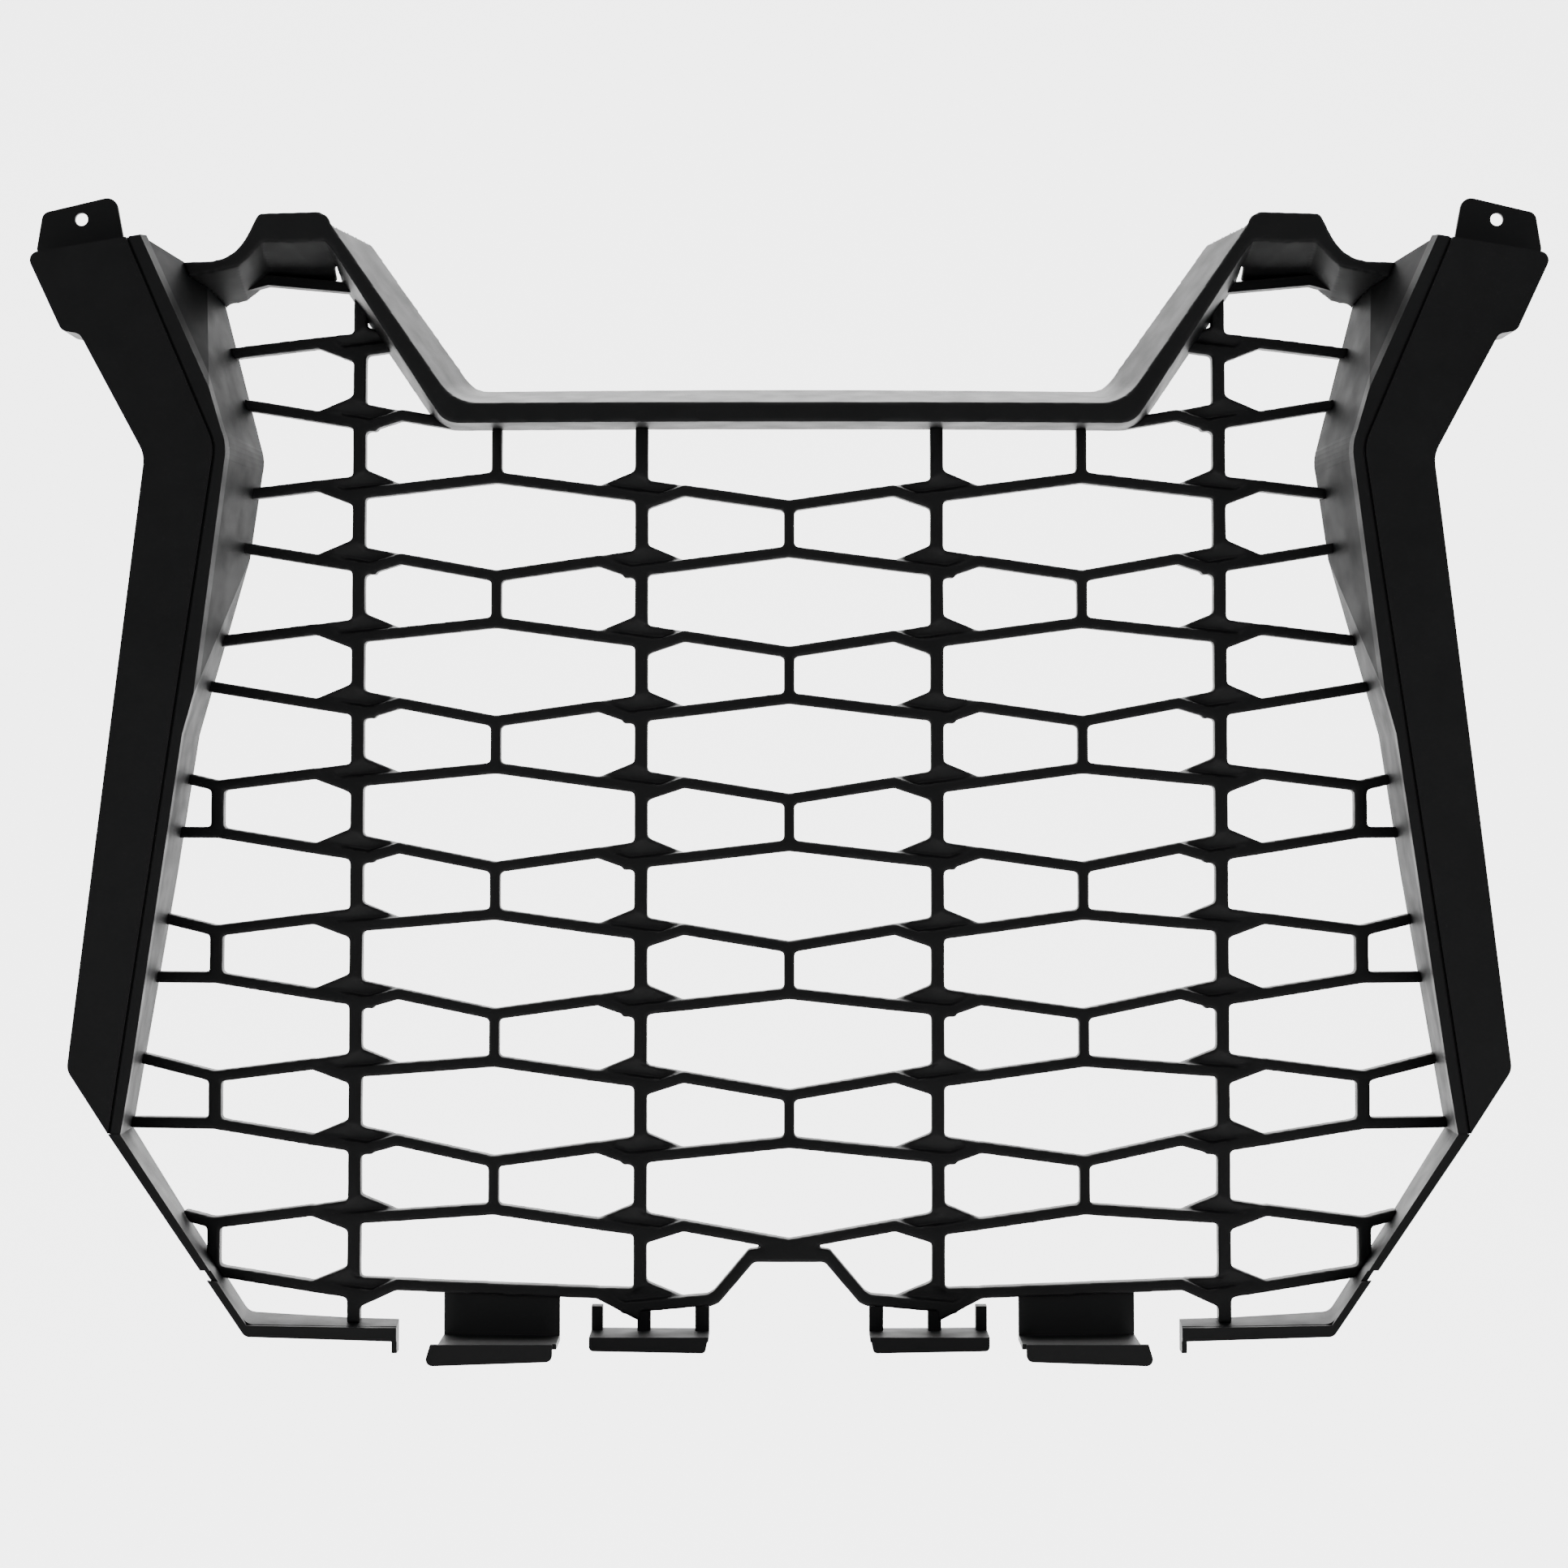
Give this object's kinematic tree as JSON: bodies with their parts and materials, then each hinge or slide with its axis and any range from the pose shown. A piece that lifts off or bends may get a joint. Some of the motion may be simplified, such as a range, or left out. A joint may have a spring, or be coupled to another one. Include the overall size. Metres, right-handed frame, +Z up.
{
  "type": "front grille",
  "caption": "Wide black moulded front grille: angled side panels, U-shaped cowl between two horns and a bowed mesh of flattened hexagons, with lower frames and snap hooks.",
  "frame": {"origin": "midpoint between the two upper fixing holes, on the front face of their tabs", "axes": "+X across to the right seen from the front, +Y to the rear of the vehicle, +Z up"},
  "size_m": [0.7016, 0.0861, 0.5355],
  "materials": {
    "body": "matte"
  },
  "bodies": {
    "root": {"left_side_panel": "body", "right_side_panel": "body", "left_edge_bead": "body", "right_edge_bead": "body", "left_duct_wall": "body", "right_duct_wall": "body", "left_fixing_tab": "body", "right_fixing_tab": "body", "left_saddle": "body", "right_saddle": "body", "left_horn": "body", "right_horn": "body", "left_cowl_leg": "body", "right_cowl_leg": "body", "cowl_bridge": "body", "left_horn_brace": "body", "right_horn_brace": "body", "left_upper_rail_1": "body", "right_upper_rail_1": "body", "left_upper_rail_2": "body", "right_upper_rail_2": "body", "mesh_rail_1": "body", "mesh_rail_2": "body", "mesh_rail_3": "body", "mesh_rail_4": "body", "mesh_rail_5": "body", "mesh_rail_6": "body", "mesh_rail_7": "body", "mesh_rail_8": "body", "mesh_rail_9": "body", "mesh_rail_10": "body", "mesh_rail_11": "body", "left_lower_rail": "body", "right_lower_rail": "body", "left_outer_column": "body", "left_inner_column": "body", "right_inner_column": "body", "right_outer_column": "body", "left_outer_gussets": "body", "left_inner_gussets": "body", "right_inner_gussets": "body", "right_outer_gussets": "body", "left_outer_struts": "body", "left_side_struts": "body", "centre_struts": "body", "right_side_struts": "body", "right_outer_struts": "body", "left_corner_rail": "body", "right_corner_rail": "body", "left_bracket_frame": "body", "right_bracket_frame": "body", "lower_arch": "body", "left_hook": "body", "right_hook": "body"}
  },
  "joints": []
}
